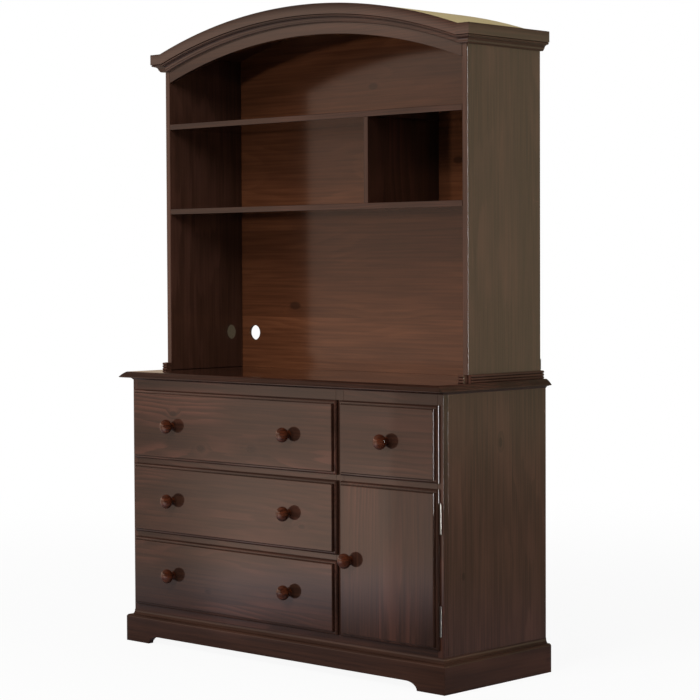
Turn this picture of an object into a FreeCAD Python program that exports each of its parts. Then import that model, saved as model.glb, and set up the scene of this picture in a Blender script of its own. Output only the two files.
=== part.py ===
import FreeCAD, Part
import math
import os

# Dresser with an arched hutch, in millimetres.
# X runs to the right, Y to the back, Z up. The origin is on the floor, in the middle of the
# whole piece. Depths are measured forward from the rear plane of the woodwork.

V = FreeCAD.Vector

# ---------------------------------------------------------------- driving dimensions
CASE_WIDTH = 1350.0          # over the case sides
CASE_DEPTH = 472.0           # rear plane to the front of the face frame
SIDE_THICKNESS = 22.0
FRAME_THICKNESS = 20.0
PANEL_THICKNESS = 18.0
BACK_THICKNESS = 6.0

PLINTH_THICKNESS = 20.0
PLINTH_HEIGHT = 103.0
PLINTH_ROUND = 8.0           # round-over of the board below its cap moulding
PLINTH_COVE = 16.0           # height of the hollow between that round-over and the case
FOOT_LENGTH = 108.0          # bracket foot, outer corner to inner edge
CUTOUT_CURVE = 44.0          # length of the curve at each end of the plinth's cut-out
CUTOUT_HEIGHT = 25.0

TOP_SURFACE = 889.0          # height of the dresser top
TOP_THICKNESS = 19.0
TOP_SIDE_OVERHANG = 22.0
TOP_FRONT_OVERHANG = 44.0
TOP_EDGE = 20.0              # width of the moulded edge of the top
TOP_TIP = 17.0               # how far the sharpest line of that edge lies below the top
COVE_REACH = 13.0            # cove strip under the top
COVE_HEIGHT = 8.0

WIDE_FRONT = 920.0           # width of the three wide drawer fronts
NARROW_FRONT = 390.0         # width of the small drawer front and the door
FRONT_HEIGHT = 225.0
FRONT_REVEAL = 13.0          # stile left showing at each end
FRONT_SPACING = 14.0         # between the wide and the narrow fronts
ROW_SPACING = 16.5           # rail left showing between rows
FIRST_ROW = 123.0            # height of the lowest front's bottom edge
OVERLAY = 9.0                # how far a front laps over its opening
FRONT_GAP = 1.5              # bumper gap behind a closed front
FRONT_THICKNESS = 17.5
LIP_THICKNESS = 8.0          # thickness left at a front's moulded edge
LIP_WIDTH = 13.0
LIP_SQUARE = 2.5             # square edge left behind the lip's round

BOX_CLEARANCE = 12.7         # room for a runner each side of a drawer box
BOX_LIFT = 25.0              # lower edge of a front to the lower edge of its box
BOX_HEIGHT = 170.0
BOX_LENGTH = 400.0
BOX_SIDE = 12.0
BOX_BOTTOM = 5.0

KNOB_RADIUS = 23.0
KNOB_REACH = 42.0
KNOB_INSET = 195.0           # knob centre to the end of a wide front
DOOR_KNOB_INSET = 50.0

HUTCH_WIDTH = 1310.0
HUTCH_DEPTH = 339.0
HUTCH_SIDE = 20.0
LOWER_SHELF = 1405.0         # underside heights of the hutch shelves
UPPER_SHELF = 1684.0
DIVIDER_X = 251.0
CABLE_HOLE_X = -575.0
CABLE_HOLE_Z = 1007.0
CABLE_HOLE_RADIUS = 25.0

CROWN_TOP = 1932.0           # height of the level ears of the crown
CROWN_REACH = 35.0
CROWN_HEIGHT = 57.0
FASCIA_HEIGHT = 33.0
EAR_START = 644.0            # where the arch meets the level ear
ARCH_RADIUS = 2000.0         # upper edge of the arched crown
ARCH_RAIL_DEPTH = 91.0       # upper edge of the crown to the underside of the arch
ROOF_THICKNESS = 5.0
ROOF_LIP = 8.0               # strip of the crown that hides the roof's front edge

FOOT_BLOCK_REACH = 23.0
FOOT_MOULDING_REACH = 14.0
REED_RADIUS = 4.0            # the three reeds of the mouldings at the hutch's foot
REED_GAP = 0.5               # quirk between two reeds
REED_DEPTH = 1.5             # depth of that quirk behind the reeds' centres

HINGE_LENGTH = 88.0
HINGE_INSET = 85.0           # hinge centre to the end of the door
KNUCKLE_RADIUS = 3.0
PIN_RADIUS = 1.3
RUNNING_GAP = 0.4            # between pieces that move past each other

REAR_HARDWARE = 3.2          # joining plates and their screws stand behind the woodwork

# ---------------------------------------------------------------- derived places
HALF_CASE = CASE_WIDTH / 2
HALF_HUTCH = HUTCH_WIDTH / 2
HALF_PLINTH = HALF_CASE + PLINTH_THICKNESS
INNER_X = HALF_CASE - SIDE_THICKNESS
HUTCH_INNER = HALF_HUTCH - HUTCH_SIDE
FRAME_BACK = CASE_DEPTH - FRAME_THICKNESS
CASE_TOP = TOP_SURFACE - TOP_THICKNESS
FRONT_BACK = CASE_DEPTH + FRONT_GAP
FRONT_FACE = FRONT_BACK + FRONT_THICKNESS
REAR_Y = (FRONT_FACE + KNOB_REACH - REAR_HARDWARE) / 2

WIDE_X = (-HALF_CASE + FRONT_REVEAL, -HALF_CASE + FRONT_REVEAL + WIDE_FRONT)
NARROW_X = (HALF_CASE - FRONT_REVEAL - NARROW_FRONT, HALF_CASE - FRONT_REVEAL)
CENTRE_X = (WIDE_X[1] - OVERLAY, NARROW_X[0] + OVERLAY)      # the centre stile
ROW_PITCH = FRONT_HEIGHT + ROW_SPACING
ROW_BOTTOMS = [FIRST_ROW + ROW_PITCH * row for row in range(3)]
DOOR_HEIGHT = 2 * FRONT_HEIGHT + ROW_SPACING
PARTITION_X = (CENTRE_X[0], CENTRE_X[0] + PANEL_THICKNESS)
FLOOR_TOP = FIRST_ROW + OVERLAY                              # cupboard floor
FRAME_FOOT = 60.0                                            # lower end of sides and stiles

ARCH_CENTRE_Z = CROWN_TOP - math.sqrt(ARCH_RADIUS ** 2 - EAR_START ** 2)
RAIL_RADIUS = ARCH_RADIUS - ARCH_RAIL_DEPTH
ROOF_INNER = ARCH_RADIUS - ROOF_THICKNESS
CROWN_FRONT = HUTCH_DEPTH + CROWN_REACH
EAR_ANGLE = math.degrees(math.asin(EAR_START / ARCH_RADIUS))


# ---------------------------------------------------------------- helpers
def y_at(depth):
    """Y of a plane that lies this far forward of the rear plane."""
    return REAR_Y - depth


def block(x, depth, z):
    """A board between two X values, two depths and two heights."""
    x, depth, z = sorted(x), sorted(depth), sorted(z)
    size = (x[1] - x[0], depth[1] - depth[0], z[1] - z[0])
    return Part.makeBox(*size, V(x[0], y_at(depth[1]), z[0]))


def turned(profile, start, towards, sides):
    """A turned piece from (radius, distance) points along an axis. It starts at one (x, depth, z)
    place and points to another. Small turnings are drawn with flat facets."""
    angles = [2 * math.pi * side / sides for side in range(sides)]
    rings = [[V(radius * math.cos(a), radius * math.sin(a), along) for a in angles]
             for radius, along in profile]
    loops = [rings[0], rings[-1]]
    for low, high in zip(rings, rings[1:]):
        loops += [[low[side - 1], low[side], high[side], high[side - 1]] for side in range(sides)]
    faces = [Part.Face(Part.makePolygon(loop + loop[:1])) for loop in loops]
    solid = Part.Solid(Part.Shell(faces))
    if solid.Volume < 0:
        solid.reverse()
    origin = V(start[0], y_at(start[1]), start[2])
    aim = V(towards[0], y_at(towards[1]), towards[2]) - origin
    solid.Placement = FreeCAD.Placement(origin, FreeCAD.Rotation(V(0, 0, 1), aim))
    return solid


def rod(start, end, radius, sides=10):
    """A straight bar between two (x, depth, z) places."""
    return turned([(radius, 0.0), (radius, math.dist(start, end))], start, end, sides)


def outline(points, place):
    """A closed face from (u, v) points; a point with a third value, 'arc', is the middle of an
    arc that joins its neighbours. place(u, v) puts a point in space."""
    edges = []
    start = place(*points[0][:2])
    index = 1
    ring = points + [points[0]]
    while index < len(ring):
        if len(ring[index]) == 3:
            middle, end = place(*ring[index][:2]), place(*ring[index + 1][:2])
            edges.append(Part.Arc(start, middle, end).toShape())
            index += 2
        else:
            end = place(*ring[index])
            edges.append(Part.LineSegment(start, end).toShape())
            index += 1
        start = end
    return Part.Face(Part.Wire(edges))


def flats(centre, radius, first, last, count):
    """Points round an arc, in degrees from first to last, that divide it into equal flats."""
    angles = [math.radians(first + (last - first) * step / count) for step in range(count + 1)]
    return [(centre[0] + radius * math.cos(a), centre[1] + radius * math.sin(a)) for a in angles]


def fuse(solids):
    """One solid from solids that touch or overlap."""
    joined = solids[0].multiFuse(solids[1:]).removeSplitter()
    return joined.Solids[0]


def half_space(point, normal, size=3000.0):
    """A large block on the side of a plane that the normal points to."""
    corner = V(-size / 2, -size / 2, 0)
    box = Part.makeBox(size, size, size, corner)
    box.Placement = FreeCAD.Placement(point, FreeCAD.Rotation(V(0, 0, 1), normal))
    return box


def mirrored(solid):
    """The left-hand twin of a right-hand solid."""
    return solid.mirror(V(0, 0, 0), V(1, 0, 0))


def export(node, solids):
    """Write one sub-part: a solid, or several that share a node."""
    solids = solids if isinstance(solids, list) else [solids]
    solids = [piece for solid in solids for piece in solid.Solids]
    shape = solids[0] if len(solids) == 1 else Part.makeCompound(solids)
    shape.exportStep("parts/" + node + ".step")


# ---------------------------------------------------------------- mouldings
def edged_board(x, z, back, face, edge):
    """A board seen from the front whose four edges carry one mitred moulding. edge lists
    (distance in from the edge, depth in front of the back) from the back corner to the field.
    The mitres come from the overlap of an upright and a level run of the same section."""
    def run(low, high, place, direction):
        left = [(low + p[0], back + p[1]) + p[2:] for p in edge]
        right = [(high - p[0], back + p[1]) + p[2:] for p in reversed(edge)]
        section = [(low, back)] + left + right + [(high, back)]
        return outline(section, place).extrude(direction)

    upright = run(x[0], x[1], lambda u, d: V(u, y_at(d), z[0]), V(0, 0, z[1] - z[0]))
    level = run(z[0], z[1], lambda u, d: V(x[0], y_at(d), u), V(x[1] - x[0], 0, 0))
    return upright.common(level).Solids[0]


def front_edge():
    """Section of the drawer and door edges: a lip rounded over as an ovolo that faces outward,
    then a quirk and a step up to the eased field."""
    lip, width, full, square = LIP_THICKNESS, LIP_WIDTH, FRONT_THICKNESS, LIP_SQUARE
    return [(0.0, square), (2.4, lip - 1.1, "arc"), (width - 5.0, lip + 1.0),
            (width - 4.0, lip - 0.6), (width - 3.0, lip - 0.6),
            (width - 2.6, full - 3.0), (width - 1.8, full - 0.9, "arc"), (width, full)]


def mitred_surround(profile, half_width, front, z_top):
    """A moulding along the front and both sides, mitred at the front corners, from one
    section of (reach, drop) points. Returns the front, right and left solids."""
    corner = V(half_width, y_at(front), 0)
    outside = V(1, 1, 0)
    front_face = outline(profile, lambda p, h: V(-half_width - 60, y_at(front + p), z_top + h))
    along_front = front_face.extrude(V(2 * half_width + 120, 0, 0))
    side_face = outline(profile, lambda p, h: V(half_width + p, y_at(0), z_top + h))
    side = side_face.extrude(V(0, -(front + 60), 0))
    right_mitre = half_space(corner, outside)
    left_mitre = half_space(V(-corner.x, corner.y, 0), V(-1, 1, 0))
    along_front = along_front.cut(right_mitre).cut(left_mitre).Solids[0]
    side = side.common(right_mitre).Solids[0]
    return along_front, side, mirrored(side)


def crown_profile():
    """Section of the crown from its upper edge: fascia, quirk, bead, cove and ovolo. Its round
    members are cut as flats, which keeps the long turned faces of the arch simple."""
    bead, cove, ovolo = 3.0, 11.0, 6.0
    foot_reach = CROWN_REACH - 2 * ovolo - cove - 4.0
    cove_centre = (foot_reach + ovolo + cove + 2.0, -CROWN_HEIGHT + ovolo)
    section = [(0.0, 0.0), (CROWN_REACH - 1.5, 0.0), (CROWN_REACH, -1.5),
               (CROWN_REACH, -FASCIA_HEIGHT)]
    section += flats((CROWN_REACH - 5.5, -FASCIA_HEIGHT - bead), bead, 90, -90, 4)
    section += [(cove_centre[0], -FASCIA_HEIGHT - 2 * bead)]
    section += flats(cove_centre, cove, 90, 180, 4)
    section += flats((foot_reach, -CROWN_HEIGHT + ovolo), ovolo, 0, -90, 3)
    return section + [(0.0, -CROWN_HEIGHT)]


# ---------------------------------------------------------------- plinth
def plinth():
    """Front and side boards, mitred at the front corners. Their upper edge is rounded over to a
    ledge, and a hollow rises from the ledge to the case. The front is cut away between two
    bracket feet with a quarter-ellipse at each end."""
    thick, high, ease, cove = PLINTH_THICKNESS, PLINTH_HEIGHT, PLINTH_ROUND, PLINTH_COVE
    quarter = ease * (1 - math.sqrt(0.5))
    cove_foot, cove_waist, cove_lip = 5.5, (1.9, -0.56 * cove), 0.8
    profile = [(0.0, -high), (thick, -high), (thick, -cove - ease),
               (thick - quarter, -cove - quarter, "arc"), (thick - ease, -cove),
               (cove_foot, -cove), (*cove_waist, "arc"), (cove_lip, 0.0), (0.0, 0.0)]
    front, right, left = mitred_surround(profile, HALF_CASE, CASE_DEPTH, high)
    inner = HALF_PLINTH - FOOT_LENGTH
    flat = inner - CUTOUT_CURVE
    y_front = y_at(CASE_DEPTH + 2 * thick)
    opening = Part.makeBox(2 * flat, 3 * thick, CUTOUT_HEIGHT + 10, V(-flat, y_front, -10))
    for sign in (1, -1):
        ellipse = Part.Ellipse(V(0, 0, 0), CUTOUT_CURVE, CUTOUT_HEIGHT)
        disc = Part.Face(Part.Wire([ellipse.toShape()])).extrude(V(0, 0, 3 * thick))
        disc.rotate(V(0, 0, 0), V(1, 0, 0), 90)
        disc.translate(V(sign * flat, y_front + 3 * thick, 0))
        opening = opening.fuse(disc)
    return front.cut(opening).Solids[0], right, left


def corner_blocks():
    """Glue blocks that carry the case inside the plinth's corners, and a rear cross rail."""
    size = 45.0
    blocks = []
    for sign in (1, -1):
        for depth in ((0.0, size), (CASE_DEPTH - size, CASE_DEPTH)):
            blocks.append(block((sign * (HALF_CASE - size), sign * HALF_CASE), depth,
                                (0.0, FRAME_FOOT)))
    edge = HALF_CASE - size
    blocks.append(block((-edge, edge), (0.0, FRAME_THICKNESS), (0.0, FRAME_FOOT)))
    return blocks


# ---------------------------------------------------------------- case
def case_side():
    """Right side panel with a rebate for the back."""
    side = block((INNER_X, HALF_CASE), (0.0, FRAME_BACK), (FRAME_FOOT, CASE_TOP))
    rebate = block((INNER_X - 1, INNER_X + 8), (-1, BACK_THICKNESS), (0, CASE_TOP + 1))
    return side.cut(rebate)


def case_partition():
    """Upright panel between the drawers and the cupboard, and the packing strip that brings
    the small drawer's left runner level with the face frame."""
    panel = block(PARTITION_X, (BACK_THICKNESS, FRAME_BACK), (FLOOR_TOP, CASE_TOP))
    strip_z = ROW_BOTTOMS[2] + 22.0
    strip = block((PARTITION_X[1], CENTRE_X[1]), (BACK_THICKNESS, FRAME_BACK),
                  (strip_z, strip_z + 40.0))
    return [panel, strip]


def cupboard_ceiling():
    """Dust panel between the small drawer and the cupboard."""
    z = ROW_BOTTOMS[2] - ROW_SPACING / 2
    return block((PARTITION_X[1], INNER_X), (BACK_THICKNESS, FRAME_BACK), (z - 6, z + 6))


def cupboard_shelf():
    """Adjustable shelf in the cupboard and the height of its underside."""
    z = FLOOR_TOP + 220.0
    return block((PARTITION_X[1] + 1.5, INNER_X - 1.5), (12.0, 400.0),
                 (z, z + PANEL_THICKNESS)), z


def shelf_pins(shelf_z):
    """Four steel pins under the shelf; each goes 9 mm into its panel."""
    pins = []
    for wall, inward in ((PARTITION_X[1], 1), (INNER_X, -1)):
        for depth in (60.0, 350.0):
            pins.append(rod((wall - inward * 9.0, depth, shelf_z - 2.5),
                            (wall + inward * 8.0, depth, shelf_z - 2.5), 2.5, 8))
    return pins


def drilled(panel, pins):
    """A panel bored for its pins."""
    for pin in pins:
        panel = panel.cut(pin)
    return panel


def face_frame():
    """Stiles and rails around the drawer and door openings."""
    depth = (FRAME_BACK, CASE_DEPTH)
    stile_right = block((INNER_X, HALF_CASE), depth, (FRAME_FOOT, CASE_TOP))
    stile_centre = block(CENTRE_X, depth, (FLOOR_TOP, CASE_TOP))
    bays = ((-INNER_X, CENTRE_X[0]), (CENTRE_X[1], INNER_X))
    top_z = ROW_BOTTOMS[2] + FRONT_HEIGHT - OVERLAY
    top_rails = [block(bay, depth, (top_z, CASE_TOP)) for bay in bays]

    def rail_below(row, bay):
        z = ROW_BOTTOMS[row]
        return block(bay, depth, (z - ROW_SPACING - OVERLAY, z + OVERLAY))

    mid_rails = [rail_below(1, bays[0]), rail_below(2, bays[0]), rail_below(2, bays[1])]
    bottom_rail = block((-INNER_X, INNER_X), depth, (FRAME_FOOT, FLOOR_TOP))
    return stile_right, stile_centre, top_rails, mid_rails, bottom_rail


def dresser_top():
    """Slab with a thumbnail edge on its front and ends; the back edge is square."""
    half = HALF_CASE + TOP_SIDE_OVERHANG
    front = CASE_DEPTH + TOP_FRONT_OVERHANG
    flat, tip, thick = TOP_EDGE, TOP_TIP, TOP_THICKNESS
    edge = [(0.0, -thick), (flat - 2.0, -thick), (flat, -tip), (flat * 0.565, -7.4, "arc"),
            (0.8, 0.0), (0.0, 0.0)]

    def level(u, h):
        return V(u, REAR_Y, TOP_SURFACE + h)

    right = [(half - flat + p[0], p[1]) + p[2:] for p in edge]
    left = [(-half + flat - p[0], p[1]) + p[2:] for p in reversed(edge)]
    lengthwise = outline(right + left, level).extrude(V(0, -front, 0))
    nose = [(front - flat + p[0], p[1]) + p[2:] for p in edge]
    section = nose + [(0.0, 0.0), (0.0, -thick)]
    crosswise = outline(section, lambda d, h: V(-half, y_at(d), TOP_SURFACE + h))
    crosswise = crosswise.extrude(V(2 * half, 0, 0))
    return lengthwise.common(crosswise).Solids[0]


def top_cove():
    """Cove strips in the corner between the case and the top. The small hollow is cut as flats."""
    reach, high = COVE_REACH, COVE_HEIGHT
    hollow = [(reach, -1.5), (0.5 * reach, -0.32 * high), (0.22 * reach, -0.64 * high)]
    profile = [(0.0, 0.0), (reach, 0.0)] + hollow + [(1.5, -high), (0.0, -high)]
    return list(mitred_surround(profile, HALF_CASE, CASE_DEPTH, CASE_TOP))


# ---------------------------------------------------------------- drawer runners
def case_runner(wall, inward, box_z):
    """Rolled steel channel on a case wall with a nylon-sized roller at its front end. inward
    is the direction from the wall to the drawer; box_z is the lower edge of the box."""
    gauge, base = 1.2, box_z - 6.0
    back, front = FRONT_BACK - BOX_LENGTH, CASE_DEPTH - 2.0
    channel = [(0.0, 0.0), (10.0, 0.0), (10.0, 4.0), (8.8, 4.0), (8.8, gauge), (gauge, gauge),
               (gauge, 26.8), (7.0, 26.8), (7.0, 28.0), (0.0, 28.0)]
    section = outline(channel, lambda u, v: V(wall + inward * u, y_at(back), base + v))
    rail = section.extrude(V(0, -(front - back), 0))
    hub = (front - 10.0, box_z + 7.4)
    roller = rod((wall + inward * gauge, *hub), (wall + inward * 8.2, *hub), 7.0)
    return fuse([rail, roller])


def drawer_runner(wall, inward, box_z):
    """The drawer's half of a runner: it wraps the lower edge of the box side, and its flange
    rides on the case roller. A second roller hangs at its rear end."""
    gauge, web = 1.2, BOX_CLEARANCE - 1.2
    back = FRONT_BACK - BOX_LENGTH
    strip = [(web, -gauge), (web + 12.0, -gauge), (web + 12.0, 0.0), (BOX_CLEARANCE, 0.0),
             (BOX_CLEARANCE, 16.0), (4.5, 16.0), (4.5, 14.8), (web, 14.8)]
    section = outline(strip, lambda u, v: V(wall + inward * u, y_at(back), box_z + v))
    rail = section.extrude(V(0, -(BOX_LENGTH - 1.0), 0))
    hub = (back + 9.0, box_z + 2.8)
    roller = rod((wall + inward * 2.5, *hub), (wall + inward * 8.2, *hub), 7.0)
    axle = rod((wall + inward * 8.2, *hub), (wall + inward * web, *hub), 2.0, 8)
    return fuse([rail, roller, axle])


# ---------------------------------------------------------------- drawers
def knob(x, z):
    """A turned ball knob, a little flatter than a sphere, on a short neck with a round foot.
    The ball is a side arc and a front arc that meet in a tangent."""
    middle, side, neck = 26.0, 14.0, 9.0
    rise, inset = KNOB_REACH - middle, KNOB_RADIUS - side
    front = (inset ** 2 + rise ** 2 - side ** 2) / (2 * (rise - side))
    front_centre = KNOB_REACH - front
    lean = math.degrees(math.atan2(middle - front_centre, inset))
    start = -math.degrees(math.acos((neck - inset) / side))
    profile = [(13.5, 0.0), (14.5, 1.5), (10.5, 4.0), (neck - 0.4, 9.0)]
    profile += flats((inset, middle), side, start, lean, 5)
    profile += flats((0.0, front_centre), front, lean, 90.0, 3)[1:-1]
    profile.append((profile[-1][0] / 3, KNOB_REACH))
    return turned(profile, (x, FRONT_FACE, z), (x, FRONT_FACE + KNOB_REACH, z), 20)


def knob_screw(x, z, head_depth):
    """Screw from the inside of a front into its knob, head against the wood."""
    shank, head, head_height = 2.0, 4.5, 3.0
    under = head_depth - head_height
    profile = [(head, 0.0), (head, head_height), (shank, head_height), (shank, FRONT_FACE - under)]
    return turned(profile, (x, under, z), (x, FRONT_FACE, z), 8)


def drawer(x, z_bottom, knob_places):
    """A drawer: moulded front, four-sided box, bottom panel, knobs and runner members."""
    front = edged_board(x, (z_bottom, z_bottom + FRONT_HEIGHT), FRONT_BACK, FRONT_FACE,
                        front_edge())
    left = x[0] + OVERLAY + BOX_CLEARANCE
    right = x[1] - OVERLAY - BOX_CLEARANCE
    low = z_bottom + BOX_LIFT
    back, face = FRONT_BACK - BOX_LENGTH, FRONT_BACK
    z = (low, low + BOX_HEIGHT)
    sides = [block((left, left + BOX_SIDE), (back, face), z),
             block((right - BOX_SIDE, right), (back, face), z)]
    inner = (left + BOX_SIDE, right - BOX_SIDE)
    ends = [block(inner, (back, back + BOX_SIDE), z), block(inner, (face - BOX_SIDE, face), z)]
    seat = low + 10.0
    groove = 6.0
    bottom = block((inner[0] - groove, inner[1] + groove),
                   (back + BOX_SIDE - groove, face - BOX_SIDE + groove),
                   (seat, seat + BOX_BOTTOM))
    walls = [wall.cut(bottom) for wall in sides + ends]
    knob_z = z_bottom + FRONT_HEIGHT / 2
    screws = [knob_screw(px, knob_z, face - BOX_SIDE) for px in knob_places]
    for screw in screws:
        walls[3] = walls[3].cut(screw)
        front = front.cut(screw)
    knobs = [knob(px, knob_z) for px in knob_places]
    runners = [drawer_runner(x[0] + OVERLAY, 1, low), drawer_runner(x[1] - OVERLAY, -1, low)]
    return {"front": front, "box": walls, "bottom": bottom, "knobs": knobs + screws,
            "runners": runners}


# ---------------------------------------------------------------- door
def door():
    """Panel door with the same moulded edge, its knob and its magnet's strike plate."""
    z = (FIRST_ROW, FIRST_ROW + DOOR_HEIGHT)
    panel = edged_board(NARROW_X, z, FRONT_BACK, FRONT_FACE, front_edge())
    x, middle = NARROW_X[0] + DOOR_KNOB_INSET, (z[0] + z[1]) / 2
    screw = knob_screw(x, middle, FRONT_BACK)
    strike = block((CENTRE_X[1] + 12.0, CENTRE_X[1] + 30.0), (FRONT_BACK - 1.2, FRONT_BACK),
                   (z[1] - OVERLAY - 52.0, z[1] - OVERLAY - 12.0))
    return panel.cut(screw), [knob(x, middle), screw], strike


def door_catch():
    """Magnetic catch behind the centre stile, near the top of the cupboard."""
    z = FIRST_ROW + DOOR_HEIGHT - OVERLAY
    body = block((CENTRE_X[1] + 11.0, CENTRE_X[1] + 31.0), (CASE_DEPTH - 46.0, CASE_DEPTH - 2.0),
                 (z - 54.0, z - 10.0))
    foot = block((PARTITION_X[1], CENTRE_X[1] + 11.0), (CASE_DEPTH - 46.0, FRAME_BACK),
                 (z - 54.0, z - 10.0))
    return fuse([body, foot])


HINGE_X = NARROW_X[1] + 1.0 + KNUCKLE_RADIUS
HINGE_DEPTH = CASE_DEPTH + 0.3 + KNUCKLE_RADIUS


def hinge(centre_z):
    """Slim wrap-round butt hinge. The frame leaf carries the two end knuckles and the pin; the
    door leaf nests in a window of it and carries the middle knuckle."""
    gauge = 1.0
    low, high = centre_z - HINGE_LENGTH / 2, centre_z + HINGE_LENGTH / 2
    third = HINGE_LENGTH / 3
    middle = (low + third, high - third)
    frame_z = (CASE_DEPTH, CASE_DEPTH + gauge)
    reach = NARROW_X[1] - 12.0
    frame_leaf = block((reach, HINGE_X), frame_z, (low, high))
    window = block((reach + 4.0, HINGE_X + 1.0), (CASE_DEPTH - 1, FRONT_FACE),
                   (middle[0] - RUNNING_GAP, middle[1] + RUNNING_GAP))
    frame_leaf = frame_leaf.cut(window)

    def knuckle(z0, z1):
        return rod((HINGE_X, HINGE_DEPTH, z0), (HINGE_X, HINGE_DEPTH, z1), KNUCKLE_RADIUS)

    pin = rod((HINGE_X, HINGE_DEPTH, low - 1.5), (HINGE_X, HINGE_DEPTH, high + 1.5), PIN_RADIUS)
    ends = [knuckle(low, middle[0] - RUNNING_GAP), knuckle(middle[1] + RUNNING_GAP, high)]
    frame_half = fuse([frame_leaf, pin] + ends)

    leaf_z = (FRONT_BACK - gauge, FRONT_BACK)
    door_leaf = block((reach + 5.0, HINGE_X), leaf_z, middle)
    barrel = knuckle(*middle)
    bore = rod((HINGE_X, HINGE_DEPTH, middle[0] - 1), (HINGE_X, HINGE_DEPTH, middle[1] + 1),
               PIN_RADIUS + 0.45)
    door_half = fuse([door_leaf, barrel]).cut(bore).Solids[0]
    return frame_half, door_half


# ---------------------------------------------------------------- hutch
def arch_cylinder(radius, depth):
    """A solid cylinder about the arch's axis, between two depths."""
    start = V(0, y_at(depth[1]), ARCH_CENTRE_Z)
    return Part.makeCylinder(radius, depth[1] - depth[0], start, V(0, 1, 0))


def hutch_side():
    """Right upright of the hutch: its top follows the roof and its back edge is rebated."""
    board = block((HUTCH_INNER, HALF_HUTCH), (0.0, HUTCH_DEPTH), (TOP_SURFACE, CROWN_TOP + 20))
    board = board.common(arch_cylinder(ROOF_INNER, (0.0, HUTCH_DEPTH)))
    rebate = block((HUTCH_INNER - 1, HUTCH_INNER + 8), (-1, 12), (TOP_SURFACE - 1, CROWN_TOP + 30))
    return board.cut(rebate)


def hutch_back():
    """Back panel under the curved roof, bored for cables near its lower left corner."""
    edge = HUTCH_INNER + 8.0
    panel = block((-edge, edge), (3.0, 12.0), (TOP_SURFACE, CROWN_TOP + 110))
    panel = panel.common(arch_cylinder(ROOF_INNER, (3.0, 12.0)))
    hole = Part.makeCylinder(CABLE_HOLE_RADIUS, 25, V(CABLE_HOLE_X, y_at(20), CABLE_HOLE_Z),
                             V(0, 1, 0))
    return panel.cut(hole)


def hutch_roof():
    """Plywood sheet bent over the sides, the arch rail and the back."""
    depth = (0.0, CROWN_FRONT - ROOF_LIP)
    shell = arch_cylinder(ARCH_RADIUS, depth).cut(arch_cylinder(ROOF_INNER, depth))
    return shell.common(block((-HALF_HUTCH, HALF_HUTCH), depth, (1700, 2100))).Solids[0]


def arch_rail():
    """Board between the sides, cut to the arch, that the crown and the roof are fixed to."""
    depth = (HUTCH_DEPTH - HUTCH_SIDE, HUTCH_DEPTH)
    ring = arch_cylinder(ROOF_INNER, depth).cut(arch_cylinder(RAIL_RADIUS, depth))
    return ring.common(block((-HUTCH_INNER, HUTCH_INNER), depth, (1700, 2100))).Solids[0]


def crown():
    """The arched front with its two level ears, and the side returns. The arch is the section
    turned about the arch's axis; each ear is the same section run level, and the two meet on
    the plane that bisects their angle. Ears and returns are mitred at the corners, and all
    three front pieces are rebated for the roof."""
    profile = crown_profile()
    spread = EAR_ANGLE + 2.0
    roof_depth = (0.0, CROWN_FRONT - ROOF_LIP)
    above_roof = block((-HALF_HUTCH, HALF_HUTCH), roof_depth, (1700, 2100))
    above_roof = above_roof.cut(arch_cylinder(ROOF_INNER, (-10.0, CROWN_FRONT)))

    def at_middle(p, h):
        return V(0, y_at(HUTCH_DEPTH + p), ARCH_CENTRE_Z + ARCH_RADIUS + h)

    section = outline(profile, at_middle)
    axis_point = V(0, y_at(HUTCH_DEPTH), ARCH_CENTRE_Z)
    section.rotate(axis_point, V(0, 1, 0), -spread)
    arch = section.revolve(axis_point, V(0, 1, 0), 2 * spread)
    level_front, right, left = mitred_surround(profile, HALF_HUTCH, HUTCH_DEPTH, CROWN_TOP)
    tilt = math.radians(EAR_ANGLE / 2)
    ears = []
    for sign in (1, -1):
        joint = V(sign * EAR_START, 0, CROWN_TOP)
        outward = V(sign * math.cos(tilt), 0, -math.sin(tilt))
        arch = arch.cut(half_space(joint, outward))
        ears.append(level_front.common(half_space(joint, outward)))
    front = [piece.cut(above_roof).Solids[0] for piece in [arch] + ears]
    return front, right, left


def foot_mouldings():
    """Blocks on the front edges of the hutch sides and strips along their outer faces, standing
    on the dresser top. Both are worked with three reeds, one above the other."""
    pitch = 2 * REED_RADIUS + REED_GAP

    def reeded(reach):
        """Section of three reeds that stand this far out at their roundest."""
        crest, quirk = reach - REED_RADIUS, reach - REED_RADIUS - REED_DEPTH
        section = [(0.0, 0.0)]
        for reed in range(3):
            low = reed * pitch
            if reed:
                section += [(quirk, low - REED_GAP), (quirk, low)]
            section += flats((crest, low + REED_RADIUS), REED_RADIUS, -90, 90, 4)
        return section + [(0.0, section[-1][1])]

    section = outline(reeded(FOOT_MOULDING_REACH),
                      lambda p, h: V(HALF_HUTCH + p, y_at(0), TOP_SURFACE + h))
    strip = section.extrude(V(0, -HUTCH_DEPTH, 0))
    section = outline(reeded(FOOT_BLOCK_REACH),
                      lambda p, h: V(HUTCH_INNER, y_at(HUTCH_DEPTH + p), TOP_SURFACE + h))
    foot = section.extrude(V(HUTCH_SIDE, 0, 0))
    return [strip, mirrored(strip), foot, mirrored(foot)]


def join_plates():
    """Flat steel plates and screws that tie the hutch to the back of the dresser."""
    x = HALF_HUTCH - HUTCH_SIDE / 2 + 4.0
    plate = block((x - 6.0, x + 6.0), (-2.0, 0.0), (TOP_SURFACE - 60.0, TOP_SURFACE + 60.0))
    heads = []
    for offset in (-45.0, -30.0, 30.0, 45.0):
        z = TOP_SURFACE + offset
        heads.append(rod((x, -REAR_HARDWARE, z), (x, -2.0, z), 4.0, 8))
    plate = fuse([plate] + heads)
    return [plate, mirrored(plate)]


# ---------------------------------------------------------------- build
os.makedirs("parts", exist_ok=True)

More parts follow.
